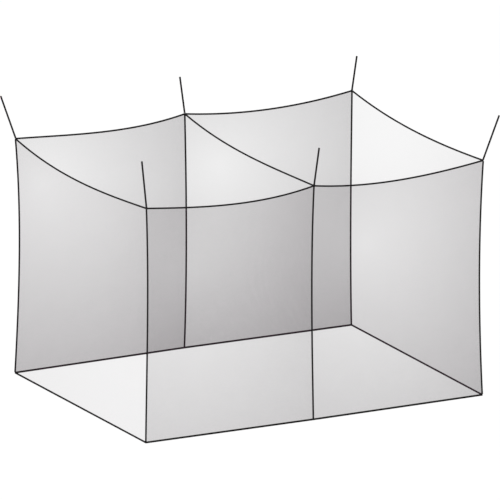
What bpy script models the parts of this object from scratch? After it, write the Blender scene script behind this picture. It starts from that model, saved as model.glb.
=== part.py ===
"""Mosquito net canopy: a box of sheer net, open underneath, that hangs from six cords.

Two roof halves and six wall panels are joined by dark corded piping. The piping runs round the
rim of the roof, across its middle and down each of the six wall seams, and a flat tape binds the
hem. Between its hanging points the net sags under its own weight, and its walls draw in at half
height.

Metres, +Z up. X runs along the net's length and Y from front to back. The origin is at hem level,
under the middle of the net.
"""

from collections import namedtuple

import bmesh
import bpy
from mathutils import Vector

# Driving dimensions
LENGTH = 2.34
WIDTH = 1.76
HEIGHT = 1.511
CLOTH_THICKNESS = 0.001
PIPING_DIAMETER = 0.0105
HEM_HEIGHT = 0.012
HEM_THICKNESS = 0.0026
CORD_DIAMETER = 0.0115
GAP = 0.0003  # left between pieces that touch

# Where the piping turns and where lengths of it meet
RIM_CORNER_RADIUS = 0.0078
BEND_DROP = 0.0004  # how far the sagging rim has fallen at the middle of a corner's bend
PANEL_INSET = PIPING_DIAMETER / 2 + 2 * GAP  # from a seam's centre line to the edge of the net
HEM_INSET = HEM_HEIGHT + 3 * GAP  # up to the bottom edge of the net and the ends of the seams
SEAM_DROP = 0.0066  # from a hanging point down to the top of its wall seam

# Fineness of the curved shapes
BAY_SEGMENTS = 12
END_SEGMENTS = 16
HEIGHT_SEGMENTS = 12
CORNER_STEPS = 4
CORD_SEGMENTS = 12
ROUND_RESOLUTION = 2

# The six points that the cords hold. The middle ones are hung a little off centre and off level.
HANGING_POINTS = {
    "front_left": Vector((-LENGTH / 2, -WIDTH / 2, HEIGHT)),
    "front_middle": Vector((-0.006, -WIDTH / 2, HEIGHT - 0.008)),
    "front_right": Vector((LENGTH / 2 - 0.001, -WIDTH / 2, HEIGHT)),
    "back_right": Vector((LENGTH / 2, WIDTH / 2, HEIGHT)),
    "back_middle": Vector((0.009, WIDTH / 2, HEIGHT + 0.004)),
    "back_left": Vector((-LENGTH / 2 + 0.003, WIDTH / 2, HEIGHT)),
}

# Where the hem is below each of them: how far it swings along X, and how far it hangs above its
# lowest point.
HemPoint = namedtuple("HemPoint", "below swing lift")
HEM = (
    HemPoint("front_left", swing=-0.004, lift=0.0045),
    HemPoint("front_middle", swing=-0.0045, lift=0.0),
    HemPoint("front_right", swing=-0.0065, lift=0.003),
    HemPoint("back_right", swing=-0.004, lift=0.0035),
    HemPoint("back_middle", swing=-0.003, lift=0.0105),
    HemPoint("back_left", swing=-0.003, lift=0.005),
)
HEM_POINTS = {
    low.below: Vector((HANGING_POINTS[low.below].x + low.swing, HANGING_POINTS[low.below].y, low.lift))
    for low in HEM
}

# How far each edge of the roof hangs below the straight line between its ends. A skew above zero
# puts the lowest point nearer the end, and one below zero nearer the start.
RoofEdge = namedtuple("RoofEdge", "start end sag skew")
ROOF_EDGES = (
    RoofEdge("front_left", "front_middle", sag=0.0475, skew=0.30),
    RoofEdge("front_middle", "front_right", sag=0.045, skew=-0.16),
    RoofEdge("front_right", "back_right", sag=0.0465, skew=0.21),
    RoofEdge("back_right", "back_middle", sag=0.045, skew=0.0),
    RoofEdge("back_middle", "back_left", sag=0.038, skew=-0.50),
    RoofEdge("back_left", "front_left", sag=0.058, skew=-0.30),
)
ROOF_MIDDLE = RoofEdge("front_middle", "back_middle", sag=0.043, skew=0.42)

# How far each wall seam is drawn in, towards the inside of the net, along X and Y. A skew above
# zero puts the narrowest place nearer the top.
WallSeam = namedtuple("WallSeam", "point draw_x draw_y skew")
WALL_SEAMS = (
    WallSeam("front_left", draw_x=0.0205, draw_y=0.0205, skew=0.56),
    WallSeam("front_middle", draw_x=0.0, draw_y=0.025, skew=0.37),
    WallSeam("front_right", draw_x=-0.015, draw_y=0.016, skew=0.07),
    WallSeam("back_right", draw_x=-0.017, draw_y=-0.020, skew=-0.38),
    WallSeam("back_middle", draw_x=0.0, draw_y=-0.0235, skew=-0.18),
    WallSeam("back_left", draw_x=0.019, draw_y=-0.019, skew=0.25),
)

# Each wall runs from its left seam to its right one, as seen from outside the net.
Wall = namedtuple("Wall", "name left right segments finish")
WALLS = (
    Wall("wall_front_left", "front_left", "front_middle", BAY_SEGMENTS, "long_wall_net"),
    Wall("wall_front_right", "front_middle", "front_right", BAY_SEGMENTS, "long_wall_net"),
    Wall("wall_end_right", "front_right", "back_right", END_SEGMENTS, "end_wall_net"),
    Wall("wall_back_right", "back_right", "back_middle", BAY_SEGMENTS, "long_wall_net"),
    Wall("wall_back_left", "back_middle", "back_left", BAY_SEGMENTS, "long_wall_net"),
    Wall("wall_end_left", "back_left", "front_left", END_SEGMENTS, "end_wall_net"),
)

# Where each taut cord ends, from its hanging point: outwards along X and Y, and up.
Cord = namedtuple("Cord", "point out_x out_y rise")
CORDS = (
    Cord("front_left", out_x=-0.062, out_y=-0.059, rise=0.324),
    Cord("front_middle", out_x=0.0, out_y=-0.0685, rise=0.259),
    Cord("front_right", out_x=0.073, out_y=-0.0725, rise=0.297),
    Cord("back_right", out_x=0.0755, out_y=0.081, rise=0.191),
    Cord("back_middle", out_x=0.0, out_y=0.066, rise=0.221),
    Cord("back_left", out_x=-0.0688, out_y=0.065, rise=0.266),
)

Finish = namedtuple("Finish", "colour alpha roughness")
FINISHES = {
    "long_wall_net": Finish(colour=(0.038, 0.018, 0.029), alpha=0.31, roughness=0.85),
    "end_wall_net": Finish(colour=(0.052, 0.016, 0.036), alpha=0.13, roughness=0.85),
    "roof_net": Finish(colour=(0.030, 0.026, 0.029), alpha=0.04, roughness=0.85),
    "piping_cloth": Finish(colour=(0.0088, 0.0078, 0.0082), alpha=1.0, roughness=0.8),
    "hem_tape": Finish(colour=(0.0096, 0.0086, 0.0090), alpha=1.0, roughness=0.76),
    "cord_braid": Finish(colour=(0.0090, 0.0080, 0.0084), alpha=1.0, roughness=0.74),
}


def clear_scene():
    for thing in list(bpy.data.objects):
        bpy.data.objects.remove(thing, do_unlink=True)


def make_material(name, finish):
    material = bpy.data.materials.new(name)
    material.use_nodes = True
    shader = material.node_tree.nodes["Principled BSDF"]
    shader.inputs["Base Color"].default_value = (*finish.colour, 1.0)
    shader.inputs["Alpha"].default_value = finish.alpha
    shader.inputs["Roughness"].default_value = finish.roughness
    shader.inputs["Metallic"].default_value = 0.0
    return material


def swell(t, skew):
    """A curve that is 0 at both ends and about 1 at the middle, leaning by skew to either end."""
    return 4 * t * (1 - t) * (1 + skew * (2 * t - 1))


def roof_line(edge):
    """The centre line of a roof edge, from 0 at its start to 1 at its end."""
    start, end = HANGING_POINTS[edge.start], HANGING_POINTS[edge.end]

    def line(t):
        return start.lerp(end, t) - Vector((0, 0, edge.sag * swell(t, edge.skew)))

    return line


def seam_line(seam):
    """The centre line of a wall seam, from 0 at the hem to 1 at its hanging point."""
    bottom, top = HEM_POINTS[seam.point], HANGING_POINTS[seam.point]
    drawn_in = Vector((seam.draw_x, seam.draw_y, 0))

    def line(t):
        return bottom.lerp(top, t) + drawn_in * swell(t, seam.skew)

    return line


def hem_line(start, end):
    """The straight bottom edge of a wall."""
    return lambda t: HEM_POINTS[start].lerp(HEM_POINTS[end], t)


def backwards(line):
    return lambda t: line(1 - t)


def hung_cloth(bottom, top, left, right):
    """The surface that hangs between four lines, for u from left to right and v from bottom to top."""

    def surface(u, v):
        across = left(v).lerp(right(v), u)
        along = bottom(u).lerp(top(u), v)
        corners = bottom(0).lerp(bottom(1), u).lerp(top(0).lerp(top(1), u), v)
        return across + along - corners

    return surface


def inset_share(share, line, start_inset, end_inset):
    """Moves a share of a line, so that 0 and 1 fall short of its ends by the two insets."""
    length = (line(1) - line(0)).length
    first, last = start_inset / length, 1 - end_inset / length
    return first + (last - first) * share


def add_panel(name, lines, insets, segments, material, collection):
    """A panel of net between four lines, cut back from the bottom, top and side ones by insets."""
    bottom, top, left, right = lines
    bottom_inset, top_inset, side_inset = insets
    surface = hung_cloth(bottom, top, left, right)
    shape = bmesh.new()
    bmesh.ops.create_grid(shape, x_segments=segments[0], y_segments=segments[1], size=0.5)
    for vert in shape.verts:
        u = inset_share(vert.co.x + 0.5, bottom, side_inset, side_inset)
        v = inset_share(vert.co.y + 0.5, left, bottom_inset, top_inset)
        vert.co = surface(u, v)
    mesh = bpy.data.meshes.new(name)
    shape.to_mesh(mesh)
    shape.free()
    mesh.materials.append(material)
    mesh.shade_smooth()
    panel = bpy.data.objects.new(name, mesh)
    collection.objects.link(panel)
    thickness = panel.modifiers.new("cloth thickness", "SOLIDIFY")
    thickness.thickness = CLOTH_THICKNESS
    thickness.offset = 0.0
    return panel


def add_round_length(name, points, diameter, material, collection, closed=False):
    """A round length of piping or cord along points."""
    curve = bpy.data.curves.new(name, "CURVE")
    curve.dimensions = "3D"
    curve.bevel_depth = diameter / 2
    curve.bevel_resolution = ROUND_RESOLUTION
    curve.use_fill_caps = not closed
    spline = curve.splines.new("POLY")
    spline.points.add(len(points) - 1)
    for spline_point, place in zip(spline.points, points):
        spline_point.co = (*place, 1.0)
    spline.use_cyclic_u = closed
    curve.materials.append(material)
    length = bpy.data.objects.new(name, curve)
    collection.objects.link(length)
    return length


def stretch(line, start_inset, end_inset, segments):
    """Evenly spaced points along a line, short of its ends by the two insets."""
    shares = [inset_share(i / segments, line, start_inset, end_inset) for i in range(segments + 1)]
    return [line(share) for share in shares]


def rounded_corner(before, corner, after):
    """Points of a short bend from before to after that turns inside the corner."""
    steps = [i / CORNER_STEPS for i in range(CORNER_STEPS + 1)]
    return [before.lerp(corner, s).lerp(corner.lerp(after, s), s) for s in steps]


def rim_points():
    """The roof rim's centre line: six sagging edges, bent round at the four corners of the box."""
    points = []
    for edge, following in zip(ROOF_EDGES, ROOF_EDGES[1:] + ROOF_EDGES[:1]):
        line, next_line = roof_line(edge), roof_line(following)
        start_inset = 0.0 if "middle" in edge.start else RIM_CORNER_RADIUS
        end_inset = 0.0 if "middle" in edge.end else RIM_CORNER_RADIUS
        straight = (line(1) - line(0)).length
        segments = END_SEGMENTS if straight > LENGTH * 0.6 else BAY_SEGMENTS
        edge_points = stretch(line, start_inset, end_inset, segments)
        if end_inset:
            turned = next_line(inset_share(0.0, next_line, RIM_CORNER_RADIUS, 0.0))
            bend = rounded_corner(edge_points[-1], line(1), turned)
            points += edge_points + bend[1:-1]
        else:
            points += edge_points[:-1]
    return points


def add_hem(name, material, collection):
    """The flat tape folded over the bottom edge, as one band round all the walls."""
    shape = bmesh.new()
    low = [shape.verts.new(point) for point in HEM_POINTS.values()]
    edges = [shape.edges.new((low[i], low[(i + 1) % len(low)])) for i in range(len(low))]
    raised = bmesh.ops.extrude_edge_only(shape, edges=edges)["geom"]
    top = [part for part in raised if isinstance(part, bmesh.types.BMVert)]
    bmesh.ops.translate(shape, verts=top, vec=(0, 0, HEM_HEIGHT))
    bmesh.ops.recalc_face_normals(shape, faces=shape.faces)
    mesh = bpy.data.meshes.new(name)
    shape.to_mesh(mesh)
    shape.free()
    mesh.materials.append(material)
    hem = bpy.data.objects.new(name, mesh)
    collection.objects.link(hem)
    thickness = hem.modifiers.new("tape thickness", "SOLIDIFY")
    thickness.thickness = HEM_THICKNESS
    thickness.offset = 0.0
    thickness.use_even_offset = True
    return hem


def add_walls(materials, collection):
    seams = {seam.point: seam_line(seam) for seam in WALL_SEAMS}
    rims = {(edge.start, edge.end): roof_line(edge) for edge in ROOF_EDGES}
    insets = (HEM_INSET, PANEL_INSET, PANEL_INSET)
    for wall in WALLS:
        ends = (wall.left, wall.right)
        lines = (hem_line(*ends), rims[ends], seams[wall.left], seams[wall.right])
        segments = (wall.segments, HEIGHT_SEGMENTS)
        add_panel(wall.name, lines, insets, segments, materials[wall.finish], collection)


def add_roof(materials, collection):
    edges = {(edge.start, edge.end): roof_line(edge) for edge in ROOF_EDGES}
    middle = roof_line(ROOF_MIDDLE)
    left_end = backwards(edges["back_left", "front_left"])
    right_end = edges["front_right", "back_right"]
    front_left = edges["front_left", "front_middle"]
    front_right = edges["front_middle", "front_right"]
    back_left = backwards(edges["back_middle", "back_left"])
    back_right = backwards(edges["back_right", "back_middle"])
    halves = {
        "roof_left": (front_left, back_left, left_end, middle),
        "roof_right": (front_right, back_right, middle, right_end),
    }
    insets = (PANEL_INSET, PANEL_INSET, PANEL_INSET)
    segments = (BAY_SEGMENTS, END_SEGMENTS)
    for name, lines in halves.items():
        add_panel(name, lines, insets, segments, materials["roof_net"], collection)


def add_piping(materials, collection):
    cloth = materials["piping_cloth"]
    rim = rim_points()
    add_round_length("roof_edge_piping", rim, PIPING_DIAMETER, cloth, collection, closed=True)
    middle = stretch(roof_line(ROOF_MIDDLE), PANEL_INSET, PANEL_INSET, END_SEGMENTS)
    add_round_length("roof_middle_piping", middle, PIPING_DIAMETER, cloth, collection)
    for seam in WALL_SEAMS:
        points = stretch(seam_line(seam), HEM_INSET, SEAM_DROP, HEIGHT_SEGMENTS)
        name = f"seam_piping_{seam.point}"
        add_round_length(name, points, PIPING_DIAMETER, cloth, collection)


def cord_foot(cord):
    """Where a cord meets the rim piping: on its top, at the bend of a corner."""
    point = HANGING_POINTS[cord.point].copy()
    if "middle" not in cord.point:
        inward = Vector((-cord.out_x, -cord.out_y, 0)).normalized()
        point += inward * RIM_CORNER_RADIUS * 0.5 ** 0.5 / 2 - Vector((0, 0, BEND_DROP))
    upward = Vector((cord.out_x, cord.out_y, cord.rise)).normalized()
    return point + upward * (PIPING_DIAMETER / 2 + GAP)


def add_cords(materials, collection):
    for cord in CORDS:
        foot = cord_foot(cord)
        tip = HANGING_POINTS[cord.point] + Vector((cord.out_x, cord.out_y, cord.rise))
        points = [foot.lerp(tip, i / CORD_SEGMENTS) for i in range(CORD_SEGMENTS + 1)]
        name = f"cord_{cord.point}"
        add_round_length(name, points, CORD_DIAMETER, materials["cord_braid"], collection)


clear_scene()
net = bpy.data.collections.new("mosquito_net")
bpy.context.scene.collection.children.link(net)
finishes = {name: make_material(name, finish) for name, finish in FINISHES.items()}
add_walls(finishes, net)
add_roof(finishes, net)
add_piping(finishes, net)
add_hem("hem_tape", finishes["hem_tape"], net)
add_cords(finishes, net)
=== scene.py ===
"""Mosquito net canopy: sheer net panels joined by dark corded piping, a bound hem and six cords.

Metres, +Z up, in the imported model's frame. X runs along the net's length and Y from front to back.
The origin is at hem level, under the middle of the net.
"""

import math
from collections import namedtuple

import bmesh
import bpy
from mathutils import Matrix, Vector


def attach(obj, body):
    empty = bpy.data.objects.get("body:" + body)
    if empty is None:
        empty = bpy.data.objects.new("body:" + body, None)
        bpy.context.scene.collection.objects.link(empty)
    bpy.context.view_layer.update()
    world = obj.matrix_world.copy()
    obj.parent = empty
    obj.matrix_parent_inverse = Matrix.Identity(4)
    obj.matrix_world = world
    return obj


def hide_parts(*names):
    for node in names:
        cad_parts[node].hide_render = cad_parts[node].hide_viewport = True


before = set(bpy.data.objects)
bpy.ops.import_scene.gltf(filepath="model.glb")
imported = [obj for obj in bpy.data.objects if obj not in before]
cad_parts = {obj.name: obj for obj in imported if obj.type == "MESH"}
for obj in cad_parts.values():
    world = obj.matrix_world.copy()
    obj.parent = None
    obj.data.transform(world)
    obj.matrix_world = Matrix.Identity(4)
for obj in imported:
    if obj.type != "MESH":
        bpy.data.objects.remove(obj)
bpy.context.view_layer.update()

# Camera. The canopy is seen without perspective, from a little above and from the left of its
# front, with the two outermost cords just inside the picture's sides.
VIEW_AZIMUTH = math.radians(-27.4)
VIEW_ELEVATION = math.radians(15.97)
VIEW_WIDTH = 3.0821
VIEW_CENTRE = Vector((0.1088, 0.1990, 0.8019))
VIEW_DISTANCE = 10.0

view_turn = Matrix.Rotation(VIEW_AZIMUTH, 3, "Z") @ Matrix.Rotation(
    math.pi / 2 - VIEW_ELEVATION, 3, "X"
)
camera_data = bpy.data.cameras.new("camera")
camera_data.type = "ORTHO"
camera_data.ortho_scale = VIEW_WIDTH
camera_data.clip_end = 100.0
camera = bpy.data.objects.new("camera", camera_data)
camera.matrix_world = (
    Matrix.Translation(VIEW_CENTRE + view_turn @ Vector((0, 0, VIEW_DISTANCE))) @ view_turn.to_4x4()
)
bpy.context.scene.collection.objects.link(camera)
bpy.context.scene.camera = camera
bpy.context.scene.view_settings.view_transform = "Standard"

# Hanging cords. Six lengths of thick black braided cord, one on each corner of the roof and one at
# the middle of each long side. Each is pulled taut up and outwards, and its cut end is sealed flat.
LENGTH = 2.34
WIDTH = 1.76
HEIGHT = 1.511
PIPING_DIAMETER = 0.0105
CORD_DIAMETER = 0.0115
GAP = 0.0003  # between the rim piping and a cord's foot
RIM_CORNER_RADIUS = 0.0078
BEND_DROP = 0.0004  # how far the sagging rim has fallen at the middle of a corner's bend
CORD_POINTS = 24
CORD_SIDES = 40
BRAID_RING_SPACING = 0.0009
BRAID_STRANDS = 8  # that lean each way
BRAID_STRAND_RUN = 0.0044  # along the cord from one strand to the next
BRAID_DEPTH = 0.0006
SEALED_END = 0.002
SEALED_THICKNESS = 0.8  # of the cord's, at the very end

HANGING_POINTS = {
    "front_left": Vector((-LENGTH / 2, -WIDTH / 2, HEIGHT)),
    "front_middle": Vector((-0.006, -WIDTH / 2, HEIGHT - 0.008)),
    "front_right": Vector((LENGTH / 2 - 0.001, -WIDTH / 2, HEIGHT)),
    "back_right": Vector((LENGTH / 2, WIDTH / 2, HEIGHT)),
    "back_middle": Vector((0.009, WIDTH / 2, HEIGHT + 0.004)),
    "back_left": Vector((-LENGTH / 2 + 0.003, WIDTH / 2, HEIGHT)),
}

# Where each cord ends, from its hanging point: outwards along X and Y, and up.
Cord = namedtuple("Cord", "point out_x out_y rise")
CORDS = (
    Cord("front_left", out_x=-0.062, out_y=-0.059, rise=0.324),
    Cord("front_middle", out_x=0.0, out_y=-0.0685, rise=0.259),
    Cord("front_right", out_x=0.073, out_y=-0.0725, rise=0.297),
    Cord("back_right", out_x=0.0755, out_y=0.081, rise=0.191),
    Cord("back_middle", out_x=0.0, out_y=0.066, rise=0.221),
    Cord("back_left", out_x=-0.0688, out_y=0.065, rise=0.266),
)


def calculated(tree, operation, *values):
    """The result of a Math node whose inputs are sockets or plain numbers."""
    node = tree.nodes.new("ShaderNodeMath")
    node.operation = operation
    for socket, value in zip(node.inputs, values):
        if isinstance(value, bpy.types.NodeSocket):
            tree.links.new(value, socket)
        else:
            socket.default_value = value
    return node.outputs[0]


def mottled(tree, place, scale, least, most):
    """Soft noise between two values."""
    noise = tree.nodes.new("ShaderNodeTexNoise")
    noise.inputs["Scale"].default_value = scale
    noise.inputs["Detail"].default_value = 3.0
    tree.links.new(place, noise.inputs["Vector"])
    spread = tree.nodes.new("ShaderNodeMapRange")
    spread.inputs["From Min"].default_value = 0.3
    spread.inputs["From Max"].default_value = 0.7
    spread.inputs["To Min"].default_value = least
    spread.inputs["To Max"].default_value = most
    tree.links.new(noise.outputs["Fac"], spread.inputs["Value"])
    return spread.outputs[0]


def yarn_finish(name, colour, roughness, lift, coordinates="UV"):
    """A matt cloth, cord or thread, and the nodes it is made of.

    Its roughness varies a little, and its tone by the share lift either way.
    """
    material = bpy.data.materials.new(name)
    material.use_nodes = True
    tree = material.node_tree
    shader = tree.nodes["Principled BSDF"]
    shader.inputs["Specular IOR Level"].default_value = 0.06
    place = tree.nodes.new("ShaderNodeTexCoord").outputs[coordinates]
    tone = tree.nodes.new("ShaderNodeMixRGB")
    tone.inputs["Color1"].default_value = (*(c * (1 - lift) for c in colour), 1.0)
    tone.inputs["Color2"].default_value = (*(c * (1 + lift) for c in colour), 1.0)
    tree.links.new(mottled(tree, place, scale=60.0, least=0.0, most=1.0), tone.inputs["Fac"])
    tree.links.new(tone.outputs["Color"], shader.inputs["Base Color"])
    rough = mottled(tree, place, scale=140.0, least=roughness - 0.06, most=roughness + 0.06)
    tree.links.new(rough, shader.inputs["Roughness"])
    return material, tree, shader, place


def raise_surface(tree, shader, height, depth):
    """Bumps a shader's surface. depth is in metres for one unit of height."""
    bump = tree.nodes.new("ShaderNodeBump")
    bump.inputs["Strength"].default_value = 0.6
    bump.inputs["Distance"].default_value = depth
    tree.links.new(height, bump.inputs["Height"])
    tree.links.new(bump.outputs["Normal"], shader.inputs["Normal"])


def waves(tree, u, v, along_u, along_v):
    """A cosine wave over a cloth, with so many radians for each metre along u and v."""
    u_phase = calculated(tree, "MULTIPLY", u, along_u)
    v_phase = calculated(tree, "MULTIPLY", v, along_v)
    return calculated(tree, "COSINE", calculated(tree, "ADD", u_phase, v_phase))


def split_uv(tree, uv):
    parts = tree.nodes.new("ShaderNodeSeparateXYZ")
    tree.links.new(uv, parts.inputs[0])
    return parts.outputs["X"], parts.outputs["Y"]


def finished(name, shape, material):
    """The object that a shape becomes, smooth and riding on the net."""
    mesh = bpy.data.meshes.new(name)
    shape.to_mesh(mesh)
    shape.free()
    mesh.materials.append(material)
    mesh.shade_smooth()
    piece = bpy.data.objects.new(name, mesh)
    bpy.context.scene.collection.objects.link(piece)
    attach(piece, "root")
    return piece


def swept(name, points, section, upward, material, closed=False):
    """A length of cord, piping or tape: a ring of (across, up) offsets carried along points.

    section gives the ring at a distance along the points. The UV map is in metres.
    """
    points = list(points) + ([points[0]] if closed else [])
    runs = [0.0]
    for start, end in zip(points, points[1:]):
        runs.append(runs[-1] + (end - start).length)
    before = points[-2] if closed else 2 * points[0] - points[1]
    after = points[1] if closed else 2 * points[-1] - points[-2]
    reach = [before, *points, after]
    frames = []
    for last, here, following in zip(reach, reach[1:], reach[2:]):
        arriving, leaving = (here - last).normalized(), (following - here).normalized()
        forward = (arriving + leaving).normalized()
        across = forward.cross(upward).normalized()
        frames.append((across / forward.dot(arriving), across.cross(forward)))
    rings = [section(run) for run in runs]
    sides, steps = len(rings[0]), len(points) - 1
    around = [0.0]
    for side in range(sides):
        around.append(around[-1] + math.dist(rings[0][side], rings[0][(side + 1) % sides]))

    shape = bmesh.new()
    uv_layer = shape.loops.layers.uv.new("UVMap")
    bmesh.ops.create_grid(shape, x_segments=sides, y_segments=steps, size=0.5, calc_uvs=True)
    for vert in shape.verts:
        side = round((vert.co.x + 0.5) * sides) % sides
        step = round((vert.co.y + 0.5) * steps)
        across, up = frames[step]
        offset = rings[step][side]
        vert.co = points[step] + across * offset[0] + up * offset[1]
    for face in shape.faces:
        for loop in face.loops:
            place = loop[uv_layer].uv
            place.x, place.y = around[round(place.x * sides)], runs[round(place.y * steps)]
    bmesh.ops.remove_doubles(shape, verts=shape.verts, dist=1e-6)
    rim = [edge for edge in shape.edges if edge.is_boundary]
    bmesh.ops.holes_fill(shape, edges=rim, sides=0)
    bmesh.ops.recalc_face_normals(shape, faces=shape.faces)
    return finished(name, shape, material)


def braid_height(turn, run):
    """How high a braid stands, from 0 to 1, at a share of a turn round it and a run along it."""
    right = turn * BRAID_STRANDS + run / BRAID_STRAND_RUN
    left = turn * BRAID_STRANDS - run / BRAID_STRAND_RUN
    right_is_over = (math.floor(right) + math.floor(left)) % 2
    crosses, follows = (right, left) if right_is_over else (left, right)
    crown = abs(math.sin(math.pi * crosses)) ** 0.6
    return crown * (0.55 + 0.45 * abs(math.sin(math.pi * follows)))


def braided_ring(run, length):
    """One ring of a braided cord, smooth and rounded over where its two ends are sealed."""
    to_end = min(run, length - run)
    sealed = min(1.0, to_end / SEALED_END)
    rounding = (1 - SEALED_THICKNESS) * math.sin(sealed * math.pi / 2)
    outer = CORD_DIAMETER / 2 * (SEALED_THICKNESS + rounding)
    depth = BRAID_DEPTH * min(1.0, to_end / (2 * SEALED_END))
    ring = []
    for side in range(CORD_SIDES):
        turn = side / CORD_SIDES
        radius = outer - depth * (1 - braid_height(turn, run))
        ring.append((radius * math.cos(math.tau * turn), radius * math.sin(math.tau * turn)))
    return ring


def cord_foot(cord):
    """Where a cord meets the rim piping: on its top, at the bend of a corner."""
    point = HANGING_POINTS[cord.point].copy()
    if "middle" not in cord.point:
        inward = Vector((-cord.out_x, -cord.out_y, 0)).normalized()
        point += inward * RIM_CORNER_RADIUS * math.sqrt(0.5) / 2 - Vector((0, 0, BEND_DROP))
    upward = Vector((cord.out_x, cord.out_y, cord.rise)).normalized()
    return point + upward * (PIPING_DIAMETER / 2 + GAP)


def cord_tip(cord):
    return HANGING_POINTS[cord.point] + Vector((cord.out_x, cord.out_y, cord.rise))


cord_braid, tree, shader, uv = yarn_finish("cord_braid", (0.0090, 0.0080, 0.0084), 0.74, lift=0.22)
around_cord, along_cord = split_uv(tree, uv)
fibres = waves(tree, around_cord, along_cord, along_u=9000.0, along_v=3800.0)
raise_surface(tree, shader, fibres, depth=0.00006)

# Cord whippings. Black thread is wound tight round the foot of each cord, and on round the piping
# to either side of it, which is what holds the cord on.
THREAD = 0.0006
THREAD_SEAT = 0.4  # of its thickness, from the surface that it bites into to its middle
THREAD_PITCH = 1.04  # of its thickness, from one turn to the next
FOOT_TURNS = 9
FOOT_OFFSET = 0.0008  # along the cord, from its foot to the first turn
PIPING_TURNS = 4
LASHING_OFFSET = 0.0095  # along the piping, from the hanging point to the first turn
TURN_STEPS = 16

# How far each edge of the roof hangs below the straight line between its ends. A skew above zero
# puts the lowest point nearer the end, and one below zero nearer the start.
RoofEdge = namedtuple("RoofEdge", "start end sag skew")
ROOF_EDGES = (
    RoofEdge("front_left", "front_middle", sag=0.0475, skew=0.30),
    RoofEdge("front_middle", "front_right", sag=0.045, skew=-0.16),
    RoofEdge("front_right", "back_right", sag=0.0465, skew=0.21),
    RoofEdge("back_right", "back_middle", sag=0.045, skew=0.0),
    RoofEdge("back_middle", "back_left", sag=0.038, skew=-0.50),
    RoofEdge("back_left", "front_left", sag=0.058, skew=-0.30),
)
ROOF_MIDDLE = RoofEdge("front_middle", "back_middle", sag=0.043, skew=0.42)


def swell(t, skew):
    """A curve that is 0 at both ends and about 1 at the middle, leaning by skew to either end."""
    return 4 * t * (1 - t) * (1 + skew * (2 * t - 1))


def roof_line(edge):
    """The centre line of a roof edge, from 0 at its start to 1 at its end."""
    start, end = HANGING_POINTS[edge.start], HANGING_POINTS[edge.end]

    def line(t):
        return start.lerp(end, t) - Vector((0, 0, edge.sag * swell(t, edge.skew)))

    return line


def backwards(line):
    return lambda t: line(1 - t)


def wind_thread(shape, start, axis, radius, turns):
    """Turns of thread laid side by side round an axis."""
    outward = axis.orthogonal().normalized()
    place = Matrix((outward, axis, outward.cross(axis))).transposed().to_4x4()
    place.translation = start + outward * (radius + THREAD * THREAD_SEAT)
    ring = bmesh.ops.create_circle(shape, segments=6, radius=THREAD / 2, matrix=place)["verts"]
    edges = {edge for vert in ring for edge in vert.link_edges}
    bmesh.ops.spin(
        shape,
        geom=ring + list(edges),
        cent=start,
        axis=axis,
        dvec=axis * THREAD * THREAD_PITCH / TURN_STEPS,
        angle=math.tau * turns,
        steps=TURN_STEPS * turns,
        use_duplicate=False,
    )


thread_finish, tree, shader, place = yarn_finish(
    "thread", (0.022, 0.020, 0.021), 0.6, lift=0.3, coordinates="Object"
)
fuzz = mottled(tree, place, scale=4000.0, least=0.0, most=1.0)
raise_surface(tree, shader, fuzz, depth=0.0001)

for cord in CORDS:
    foot, tip = cord_foot(cord), cord_tip(cord)
    length = (tip - foot).length
    upward = (tip - foot).normalized()

    wound = bmesh.new()
    first_turn = foot + upward * FOOT_OFFSET
    wind_thread(wound, first_turn, upward, CORD_DIAMETER / 2, FOOT_TURNS)
    for edge in ROOF_EDGES:
        if cord.point not in (edge.start, edge.end):
            continue
        line = roof_line(edge) if cord.point == edge.start else backwards(roof_line(edge))
        share = LASHING_OFFSET / (line(1) - line(0)).length
        first_turn, further_on = line(share), line(share * 1.4)
        along = (further_on - first_turn).normalized()
        wind_thread(wound, first_turn, along, PIPING_DIAMETER / 2, PIPING_TURNS)
    thread_ends = [edge for edge in wound.edges if edge.is_boundary]
    bmesh.ops.holes_fill(wound, edges=thread_ends, sides=0)
    bmesh.ops.recalc_face_normals(wound, faces=wound.faces)
    whipping = finished(f"whipping_{cord.point}", wound, thread_finish)

    rings = round(length / BRAID_RING_SPACING)
    piece = swept(
        f"braided_cord_{cord.point}",
        [foot.lerp(tip, i / rings) for i in range(rings + 1)],
        lambda run: braided_ring(run, length),
        Vector((1, 0, 0)),
        cord_braid,
    )
    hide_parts(f"cord_{cord.point}")
    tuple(foot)
    [foot.lerp(tip, i / CORD_POINTS) for i in range(CORD_POINTS + 1)]

# Roof piping. A filler cord is wrapped in a bias strip of black cloth and sewn into the seam
# between the roof and the walls, all round the rim, and into the seam across the roof's middle.
PIPING_SIDES = 16
PIPING_RING_SPACING = 0.009
CORNER_STEPS = 8
MIDDLE_INSET = 0.003  # from the rim's centre line to the end of the middle piping


def stretch(line, start_inset, end_inset, spacing):
    """Evenly spaced points along a line, short of its ends by the two insets."""
    length = (line(1) - line(0)).length
    first, last = start_inset / length, 1 - end_inset / length
    count = math.ceil(length * (last - first) / spacing)
    return [line(first + (last - first) * i / count) for i in range(count + 1)]


def rim_points():
    """The rim's centre line: six sagging edges, bent round at the four corners of the box."""
    points = []
    for edge, following in zip(ROOF_EDGES, ROOF_EDGES[1:] + ROOF_EDGES[:1]):
        start_inset = 0.0 if "middle" in edge.start else RIM_CORNER_RADIUS
        end_inset = 0.0 if "middle" in edge.end else RIM_CORNER_RADIUS
        edge_points = stretch(roof_line(edge), start_inset, end_inset, PIPING_RING_SPACING)
        if "middle" in edge.end:
            points += edge_points[:-1]
            continue
        corner = HANGING_POINTS[edge.end]
        before = edge_points[-1]
        after = stretch(roof_line(following), RIM_CORNER_RADIUS, 0.0, PIPING_RING_SPACING)[0]
        shares = [i / CORNER_STEPS for i in range(1, CORNER_STEPS)]
        points += edge_points
        points += [before.lerp(corner, s).lerp(corner.lerp(after, s), s) for s in shares]
    return points


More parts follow.
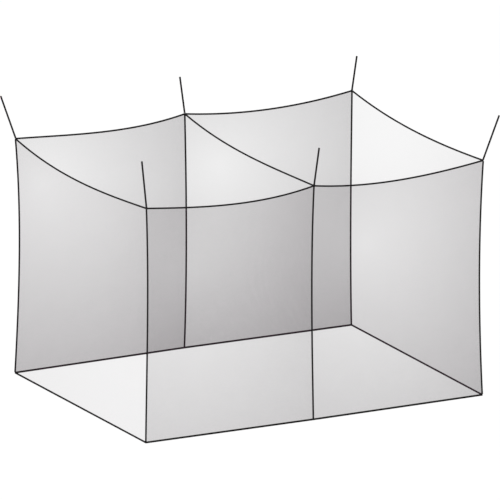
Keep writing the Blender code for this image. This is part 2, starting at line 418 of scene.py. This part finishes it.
def piping_ring(run):
    turns = [math.tau * side / PIPING_SIDES for side in range(PIPING_SIDES)]
    radius = PIPING_DIAMETER / 2
    return [(radius * math.cos(turn), radius * math.sin(turn)) for turn in turns]


piping_cloth, tree, shader, uv = yarn_finish(
    "piping_cloth", (0.0088, 0.0078, 0.0082), 0.8, lift=0.2
)
around_piping, along_piping = split_uv(tree, uv)
warp = waves(tree, around_piping, along_piping, along_u=7400.0, along_v=7400.0)
weft = waves(tree, around_piping, along_piping, along_u=7400.0, along_v=-7400.0)
raise_surface(tree, shader, calculated(tree, "MULTIPLY", warp, weft), depth=0.00012)

rim_piping = swept(
    "rim_piping", rim_points(), piping_ring, Vector((0, 0, 1)), piping_cloth, closed=True
)
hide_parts("roof_edge_piping")

middle_piping = swept(
    "middle_piping",
    stretch(roof_line(ROOF_MIDDLE), MIDDLE_INSET, MIDDLE_INSET, PIPING_RING_SPACING),
    piping_ring,
    Vector((0, 0, 1)),
    piping_cloth,
)
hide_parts("roof_middle_piping")

# Wall seam piping. The same piping runs down each corner and down the middle of the two long
# sides, from just under the rim to the hem tape. The seams are drawn in a little at half height.
HEM_HEIGHT = 0.012
SEAM_TUCK = 0.001  # how far the piping goes down into the hem tape
SEAM_TOP = 0.0045  # from the rim's centre line to the top of the piping

# Where the hem is below each hanging point: how far it swings along X, and how far it hangs above
# its lowest point.
HemPoint = namedtuple("HemPoint", "below swing lift")
HEM = (
    HemPoint("front_left", swing=-0.004, lift=0.0045),
    HemPoint("front_middle", swing=-0.0045, lift=0.0),
    HemPoint("front_right", swing=-0.0065, lift=0.003),
    HemPoint("back_right", swing=-0.004, lift=0.0035),
    HemPoint("back_middle", swing=-0.003, lift=0.0105),
    HemPoint("back_left", swing=-0.003, lift=0.005),
)
HEM_POINTS = {}
for low in HEM:
    above = HANGING_POINTS[low.below]
    HEM_POINTS[low.below] = Vector((above.x + low.swing, above.y, low.lift))

# How far each wall seam is drawn in, towards the inside of the net, along X and Y. A skew above
# zero puts the narrowest place nearer the top.
WallSeam = namedtuple("WallSeam", "point draw_x draw_y skew")
WALL_SEAMS = (
    WallSeam("front_left", draw_x=0.0205, draw_y=0.0205, skew=0.56),
    WallSeam("front_middle", draw_x=0.0, draw_y=0.025, skew=0.37),
    WallSeam("front_right", draw_x=-0.015, draw_y=0.016, skew=0.07),
    WallSeam("back_right", draw_x=-0.017, draw_y=-0.020, skew=-0.38),
    WallSeam("back_middle", draw_x=0.0, draw_y=-0.0235, skew=-0.18),
    WallSeam("back_left", draw_x=0.019, draw_y=-0.019, skew=0.25),
)


def seam_line(seam):
    """The centre line of a wall seam, from 0 at the hem to 1 at its hanging point."""
    bottom, top = HEM_POINTS[seam.point], HANGING_POINTS[seam.point]
    drawn_in = Vector((seam.draw_x, seam.draw_y, 0))

    def line(t):
        return bottom.lerp(top, t) + drawn_in * swell(t, seam.skew)

    return line


for seam in WALL_SEAMS:
    piece = swept(
        f"wall_piping_{seam.point}",
        stretch(seam_line(seam), HEM_HEIGHT - SEAM_TUCK, SEAM_TOP, PIPING_RING_SPACING),
        piping_ring,
        Vector((0, 1, 0)),
        piping_cloth,
    )
    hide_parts(f"seam_piping_{seam.point}")

# Hem tape. One ribbed black tape is folded up over the bottom edge of all the walls and sewn
# through near its top edges. It is mitred at the four corners.
HEM_THICKNESS = 0.0026
HEM_EDGE = 0.0004
HEM_RUN_SPACING = 0.05

# Half of the tape's section, from the cleft between its two edges round to the bottom fold: how far
# across and how far up.
half = HEM_THICKNESS / 2
HEM_SECTION = (
    (half * 0.15, HEM_HEIGHT * 0.82),
    (half * 0.45, HEM_HEIGHT - HEM_EDGE * 0.3),
    (half * 0.75, HEM_HEIGHT),
    (half - HEM_EDGE * 0.2, HEM_HEIGHT - HEM_EDGE),
    (half * 0.94, HEM_HEIGHT * 0.72),
    (half, HEM_HEIGHT * 0.4),
    (half * 0.93, HEM_HEIGHT * 0.12),
    (half * 0.6, HEM_HEIGHT * 0.02),
    (0.0, 0.0),
)
hem_ring = list(HEM_SECTION) + [(-across, up) for across, up in reversed(HEM_SECTION[:-1])]

hem_finish, tree, shader, uv = yarn_finish("hem_tape", (0.0096, 0.0086, 0.0090), 0.76, lift=0.2)
around_hem, along_hem = split_uv(tree, uv)
ribs = waves(tree, around_hem, along_hem, along_u=0.0, along_v=6300.0)
raise_surface(tree, shader, ribs, depth=0.00015)

HEM_TURNS = list(HEM_POINTS.values())
hem_points = []
for first, last in zip(HEM_TURNS, HEM_TURNS[1:] + HEM_TURNS[:1]):
    count = round((last - first).length / HEM_RUN_SPACING)
    hem_points += [first.lerp(last, i / count) for i in range(count)]
hem_tape = swept(
    "bound_hem", hem_points, lambda run: hem_ring, Vector((0, 0, 1)), hem_finish, closed=True
)
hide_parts("hem_tape")

# Hem stitching. Lock stitches in black thread run along both faces of the hem tape, near its top.
STITCH_LENGTH = 0.0032
STITCH_PITCH = 0.004
STITCH_THICKNESS = 0.0006
HEM_STITCH_HEIGHT = 0.0092
HEM_ROW_STEPS = 10


def sew(name, rows):
    """Rows of stitches along lists of points, joined to one piece."""
    stitch_shape = bmesh.new()
    bmesh.ops.create_icosphere(
        stitch_shape,
        subdivisions=1,
        radius=0.5,
        matrix=Matrix.Diagonal((STITCH_LENGTH, STITCH_THICKNESS, STITCH_THICKNESS, 1.0)),
    )
    stitch_mesh = bpy.data.meshes.new("stitch")
    stitch_shape.to_mesh(stitch_mesh)
    stitch_shape.free()
    seams = bmesh.new()
    for points in rows:
        row_curve = bpy.data.curves.new("row", "CURVE")
        row_curve.dimensions = "3D"
        spline = row_curve.splines.new("POLY")
        spline.points.add(len(points) - 1)
        for spline_point, place in zip(spline.points, points):
            spline_point.co = (*place, 1.0)
        row = bpy.data.objects.new("row", row_curve)
        stitches = bpy.data.objects.new("stitches", stitch_mesh)
        for thing in (row, stitches):
            bpy.context.scene.collection.objects.link(thing)
        repeat = stitches.modifiers.new("repeat", "ARRAY")
        repeat.fit_type = "FIT_CURVE"
        repeat.curve = row
        repeat.use_relative_offset = False
        repeat.use_constant_offset = True
        repeat.constant_offset_displace = (STITCH_PITCH, 0, 0)
        bend = stitches.modifiers.new("bend", "CURVE")
        bend.object = row
        sewn = stitches.evaluated_get(bpy.context.evaluated_depsgraph_get())
        seams.from_mesh(sewn.to_mesh())
        sewn.to_mesh_clear()
        bpy.data.objects.remove(stitches)
        bpy.data.objects.remove(row)
    piece = finished(name, seams, thread_finish)
    return piece


hem_rows = []
for outset in (HEM_THICKNESS / 2, -HEM_THICKNESS / 2):
    turns = []
    for point in HEM_TURNS:
        outward = Vector((round(2 * point.x / LENGTH), round(2 * point.y / WIDTH), 0))
        turns.append(point + outward * outset + Vector((0, 0, HEM_STITCH_HEIGHT)))
    for start, end in zip(turns, turns[1:] + turns[:1]):
        hem_rows.append([start.lerp(end, i / HEM_ROW_STEPS) for i in range(HEM_ROW_STEPS + 1)])
sew("stitching_hem", hem_rows)

# Net panels. Each is one piece of fine knitted net, dark yarn with holes too small to see from a
# step away, which hangs smooth between its seams and is stitched close beside them. The long walls
# are the densest: painted shade on them, and painted light on the sheerer roof and end walls.
PANEL_SEGMENTS = (48, 60)
NET_BOTTOM = 0.0025  # its bottom edge is tucked into the fold of the hem tape
KNIT_PITCH = 0.0022
KNIT_CONTRAST = 0.13
RIPPLE = 0.0012
STITCH_INSET = PIPING_DIAMETER / 2 + 0.0007  # from a seam's centre line
STITCH_ROW_STEPS = 60

# Each panel runs from its left seam to its right one, as seen from outside, or from above with
# the front at the bottom. Its net is sheer at one point, given as shares of its width and height,
# and gets denser with the distance from there, up to the panel's farthest corner: painted light at
# that point and painted shade growing away from it. The point may lie beyond the panel's edge.
Panel = namedtuple("Panel", "name finish left right flat sheer_at sheer dense")
PANELS = (
    Panel("wall_front_left", "long_wall_net", "front_left", "front_middle",
          flat=(1.17, 1.50), sheer_at=(0.24, 0.73), sheer=0.166, dense=0.442),
    Panel("wall_front_right", "long_wall_net", "front_middle", "front_right",
          flat=(1.18, 1.50), sheer_at=(0.31, 0.735), sheer=0.148, dense=0.451),
    Panel("wall_end_right", "end_wall_net", "front_right", "back_right",
          flat=(1.76, 1.50), sheer_at=(0.78, 1.32), sheer=0.015, dense=0.197),
    Panel("wall_back_right", "long_wall_net", "back_right", "back_middle",
          flat=(1.16, 1.50), sheer_at=(0.795, 0.78), sheer=0.133, dense=0.499),
    Panel("wall_back_left", "long_wall_net", "back_middle", "back_left",
          flat=(1.18, 1.50), sheer_at=(0.86, 0.80), sheer=0.114, dense=0.529),
    Panel("wall_end_left", "end_wall_net", "back_left", "front_left",
          flat=(1.76, 1.50), sheer_at=(0.72, 0.85), sheer=0.110, dense=0.166),
    Panel("roof_left", "roof_net", "front_left", "front_middle",
          flat=(1.18, 1.77), sheer_at=(0.5, 0.5), sheer=0.03, dense=0.05),
    Panel("roof_right", "roof_net", "front_middle", "front_right",
          flat=(1.17, 1.77), sheer_at=(0.5, 0.5), sheer=0.03, dense=0.05),
)


def net_finish(name, colour):
    """Dark yarn that lets through what its knit leaves open. The panel sets its cover and painted
    shade.
    """
    material, tree, shader, uv = yarn_finish(name, colour, 0.85, lift=0.1)
    u, v = split_uv(tree, uv)
    # Three waves, a third of a turn apart, add up to holes in staggered rows.
    turn = math.tau / (KNIT_PITCH * math.sqrt(3) / 2)
    side = turn * math.sqrt(3) / 2
    rows = waves(tree, u, v, along_u=0.0, along_v=turn)
    right_rows = waves(tree, u, v, along_u=side, along_v=-turn / 2)
    left_rows = waves(tree, u, v, along_u=-side, along_v=-turn / 2)
    holes = calculated(tree, "ADD", calculated(tree, "ADD", rows, right_rows), left_rows)
    # The panel's cover, with its painted shade worked in, is read from a vertex attribute.
    cover_and_shade = tree.nodes.new("ShaderNodeAttribute")
    cover_and_shade.attribute_name = "cover_and_painted_shade"
    knit = calculated(tree, "MULTIPLY_ADD", holes, -KNIT_CONTRAST, 1.0)
    uneven = mottled(tree, uv, scale=7.0, least=0.985, most=1.015)
    knit_cover_and_shade = calculated(tree, "MULTIPLY", cover_and_shade.outputs["Fac"], knit)
    cover_with_shade = calculated(tree, "MULTIPLY", knit_cover_and_shade, uneven)
    tree.links.new(cover_with_shade, shader.inputs["Alpha"])
    raise_surface(tree, shader, calculated(tree, "MULTIPLY", holes, -0.3), depth=0.0002)
    return material


def hung_cloth(bottom, top, left, right):
    """The surface between four lines, where u runs from left to right and v from bottom to top."""

    def surface(u, v):
        across = left(v).lerp(right(v), u)
        along = bottom(u).lerp(top(u), v)
        corners = bottom(0).lerp(bottom(1), u).lerp(top(0).lerp(top(1), u), v)
        return across + along - corners

    return surface


def hem_line(start, end):
    return lambda t: HEM_POINTS[start].lerp(HEM_POINTS[end], t)


def panel_lines(panel):
    """The bottom, top, left and right lines that a panel hangs between."""
    edges = {(edge.start, edge.end): roof_line(edge) for edge in ROOF_EDGES}
    if panel.name.startswith("wall"):
        seams = {seam.point: seam_line(seam) for seam in WALL_SEAMS}
        ends = (panel.left, panel.right)
        return hem_line(*ends), edges[ends], seams[panel.left], seams[panel.right]
    middle = roof_line(ROOF_MIDDLE)
    front = edges[panel.left, panel.right]
    if panel.name == "roof_left":
        back = backwards(edges["back_middle", "back_left"])
        return front, back, backwards(edges["back_left", "front_left"]), middle
    back = backwards(edges["back_right", "back_middle"])
    return front, back, middle, edges["front_right", "back_right"]


def ripple(u, v):
    """Faint folds that a hung net never quite loses, none at its edges."""
    folds = math.sin(math.tau * (3.1 * u + 0.35 * math.sin(2.3 * v + 0.8)))
    slack = math.sin(math.tau * (1.7 * u - 0.9 * v + 0.2))
    return RIPPLE * 16 * u * (1 - u) * v * (1 - v) * (folds + 0.6 * slack)


NET_FINISHES = {
    "long_wall_net": net_finish("long_wall_net", (0.038, 0.018, 0.029)),
    "end_wall_net": net_finish("end_wall_net", (0.052, 0.016, 0.036)),
    "roof_net": net_finish("roof_net", (0.030, 0.026, 0.029)),
}

for panel in PANELS:
    bottom, top, left, right = panel_lines(panel)
    surface = hung_cloth(bottom, top, left, right)
    across, upward = bottom(1) - bottom(0), left(1) - left(0)
    facing = across.cross(upward).normalized()
    width, height = across.length, upward.length
    is_wall = panel.name.startswith("wall")
    farthest = math.hypot(
        width * max(panel.sheer_at[0], 1 - panel.sheer_at[0]),
        height * max(panel.sheer_at[1], 1 - panel.sheer_at[1]),
    )

    shape = bmesh.new()
    uv_layer = shape.loops.layers.uv.new("UVMap")
    cover_and_shade_layer = shape.verts.layers.float.new("cover_and_painted_shade")
    bmesh.ops.create_grid(
        shape, x_segments=PANEL_SEGMENTS[0], y_segments=PANEL_SEGMENTS[1], size=0.5, calc_uvs=True
    )
    lowest = NET_BOTTOM / height if is_wall else 0.0
    for vert in shape.verts:
        u, v = vert.co.x + 0.5, lowest + (1 - lowest) * (vert.co.y + 0.5)
        # Painted shade: the cover grows from the panel's painted light point out to its farthest
        # corner.
        away = math.hypot((u - panel.sheer_at[0]) * width, (v - panel.sheer_at[1]) * height)
        vert[cover_and_shade_layer] = panel.sheer + (panel.dense - panel.sheer) * away / farthest
        vert.co = surface(u, v) + facing * ripple(u, v)
    for face in shape.faces:
        for loop in face.loops:
            place = loop[uv_layer].uv
            place.x, place.y = place.x * width, place.y * height
    net = finished(f"net_{panel.name}", shape, NET_FINISHES[panel.finish])
    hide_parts(panel.name)

    side_inset, end_inset = STITCH_INSET / width, STITCH_INSET / height
    lowest = HEM_HEIGHT / height if is_wall else end_inset
    steps = range(STITCH_ROW_STEPS + 1)
    columns = [side_inset + (1 - 2 * side_inset) * i / STITCH_ROW_STEPS for i in steps]
    levels = [lowest + (1 - end_inset - lowest) * i / STITCH_ROW_STEPS for i in steps]
    rows = [
        [surface(side_inset, v) for v in levels],
        [surface(1 - side_inset, v) for v in levels],
        [surface(u, 1 - end_inset) for u in columns],
    ]
    if not is_wall:
        rows.append([surface(u, end_inset) for u in columns])
    stitching = sew(f"stitching_{panel.name}", rows)

# Floor and light. A plain white floor under an even white surround, with one large soft lamp in
# front and to the left, as in a studio.
FLOOR_REACH = 40.0
FLOOR_LEVEL = -0.001
LAMP_PLACE = Vector((-3.0, -3.5, 4.2))
LAMP_AIM = Vector((0, 0, 0.8))

floor_shape = bmesh.new()
bmesh.ops.create_grid(floor_shape, x_segments=1, y_segments=1, size=FLOOR_REACH)
bmesh.ops.translate(floor_shape, verts=floor_shape.verts, vec=(0, 0, FLOOR_LEVEL))
floor_mesh = bpy.data.meshes.new("floor")
floor_shape.to_mesh(floor_mesh)
floor_shape.free()
floor_finish = bpy.data.materials.new("floor_white")
floor_finish.use_nodes = True
floor_shader = floor_finish.node_tree.nodes["Principled BSDF"]
floor_shader.inputs["Base Color"].default_value = (0.02, 0.02, 0.02, 1)
floor_shader.inputs["Specular IOR Level"].default_value = 0.0
floor_shader.inputs["Emission Color"].default_value = (1, 1, 1, 1)
floor_shader.inputs["Emission Strength"].default_value = 1.0
floor_mesh.materials.append(floor_finish)
floor = bpy.data.objects.new("floor", floor_mesh)
bpy.context.scene.collection.objects.link(floor)

surround = bpy.data.worlds.new("surround")
surround.use_nodes = True
surround.node_tree.nodes["Background"].inputs["Color"].default_value = (1, 1, 1, 1)
surround.node_tree.nodes["Background"].inputs["Strength"].default_value = 1.0
bpy.context.scene.world = surround

lamp_data = bpy.data.lights.new("soft_lamp", "AREA")
lamp_data.shape = "DISK"
lamp_data.size = 3.0
lamp_data.energy = 150.0
lamp = bpy.data.objects.new("soft_lamp", lamp_data)
lamp_turn = (LAMP_PLACE - LAMP_AIM).to_track_quat("Z", "Y").to_matrix()
lamp.matrix_world = Matrix.Translation(LAMP_PLACE) @ lamp_turn.to_4x4()
bpy.context.scene.collection.objects.link(lamp)
